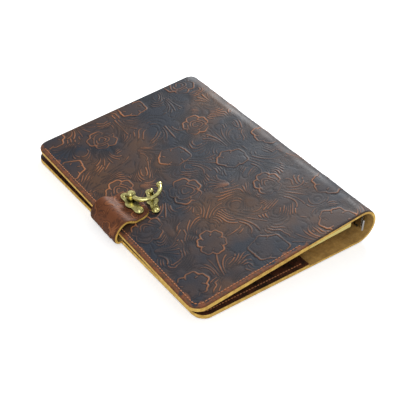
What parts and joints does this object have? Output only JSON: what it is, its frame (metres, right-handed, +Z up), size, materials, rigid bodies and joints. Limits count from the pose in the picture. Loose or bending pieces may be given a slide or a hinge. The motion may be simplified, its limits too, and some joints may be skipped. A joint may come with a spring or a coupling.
{
  "type": "leather ring binder planner",
  "caption": "Closed leather planner with a round spine, ring mechanism and loose-leaf pages, and a wrap strap round the fore edge held by a brass swing clasp.",
  "frame": {"origin": "middle of the bounding box's underside, on the table", "axes": "+X from the spine to the fore edge, +Y along the spine to the head, +Z up through the covers"},
  "size_m": [0.1764, 0.235, 0.031],
  "materials": {
    "cover_leather": "dark brown pull-up leather with tooled flowers",
    "lining_leather": "brown suede side",
    "strap_leather": "reddish brown tooled leather",
    "nickel": "nickel plated steel",
    "paper": "cream paper",
    "divider": "blue divider card",
    "brass": "antique brass"
  },
  "bodies": {
    "back": {"back_cover": "cover_leather", "back_lining": "lining_leather", "strap_root": "strap_leather"},
    "spine": {"spine_leather": "cover_leather", "ring_base_plate": "nickel", "mechanism_rivets": "nickel"},
    "front": {"front_cover": "cover_leather", "front_lining": "lining_leather", "keeper": "brass", "keeper_rivets": "brass"},
    "strap": {"strap_flap": "strap_leather", "clasp_base": "brass", "clasp_rivets": "brass", "clasp_pivot": "brass"},
    "swing_arm": {"swing_arm": "brass"},
    "rings_upper": {"rail_upper": "nickel", "ring_upper_1": "nickel", "ring_upper_2": "nickel", "ring_upper_3": "nickel", "ring_upper_4": "nickel", "ring_upper_5": "nickel", "ring_upper_6": "nickel"},
    "rings_lower": {"rail_lower": "nickel", "ring_lower_1": "nickel", "ring_lower_2": "nickel", "ring_lower_3": "nickel", "ring_lower_4": "nickel", "ring_lower_5": "nickel", "ring_lower_6": "nickel"},
    "lever_head": {"lever_head": "nickel"},
    "lever_tail": {"lever_tail": "nickel"},
    "pages": {"page_stack": "paper", "tab_divider": "divider"}
  },
  "joints": [
    {"name": "spine_roll", "type": "hinge", "parent": "back", "child": "spine", "pos_m": [-0.08263, 0, 0.00454], "axis": [0, -1, 0], "range_deg": [0, 90]},
    {"name": "cover_open", "type": "hinge", "parent": "spine", "child": "front", "pos_m": [-0.08263, 0, 0.02646], "axis": [0, -1, 0], "range_deg": [0, 96]},
    {"name": "pages_turn", "type": "hinge", "parent": "spine", "child": "pages", "pos_m": [-0.07167, 0, 0.0155], "axis": [0, 1, 0], "range_deg": [0, 90]},
    {"name": "rings_open", "type": "hinge", "parent": "spine", "child": "rings_upper", "pos_m": [-0.08046, 0, 0.02175], "axis": [0, -1, 0], "range_deg": [0, 8]},
    {"name": "rings_open_lower", "type": "hinge", "parent": "spine", "child": "rings_lower", "pos_m": [-0.08046, 0, 0.00925], "axis": [0, 1, 0], "range_deg": [0, 8]},
    {"name": "lever_head_press", "type": "hinge", "parent": "spine", "child": "lever_head", "pos_m": [-0.07946, 0.106, 0.0155], "axis": [0, 0, 1], "range_deg": [0, 20]},
    {"name": "lever_tail_press", "type": "hinge", "parent": "spine", "child": "lever_tail", "pos_m": [-0.07946, -0.106, 0.0155], "axis": [0, 0, -1], "range_deg": [0, 20]},
    {"name": "strap_fold", "type": "hinge", "parent": "back", "child": "strap", "pos_m": [0.08293, 0, 0.0018], "axis": [0, 1, 0], "range_deg": [0, 90]},
    {"name": "clasp_swing", "type": "hinge", "parent": "strap", "child": "swing_arm", "pos_m": [0.05883, -0.0046, 0.02316], "axis": [-0.1156, 0, -0.9933], "range_deg": [0, 75]}
  ],
  "couplings": [
    {"joint": "spine_roll", "follows": "cover_open", "ratio": 0.92},
    {"joint": "pages_turn", "follows": "cover_open", "ratio": 0.92},
    {"joint": "rings_open_lower", "follows": "rings_open", "ratio": 1},
    {"joint": "lever_head_press", "follows": "rings_open", "ratio": 2.5},
    {"joint": "lever_tail_press", "follows": "rings_open", "ratio": 2.5}
  ]
}
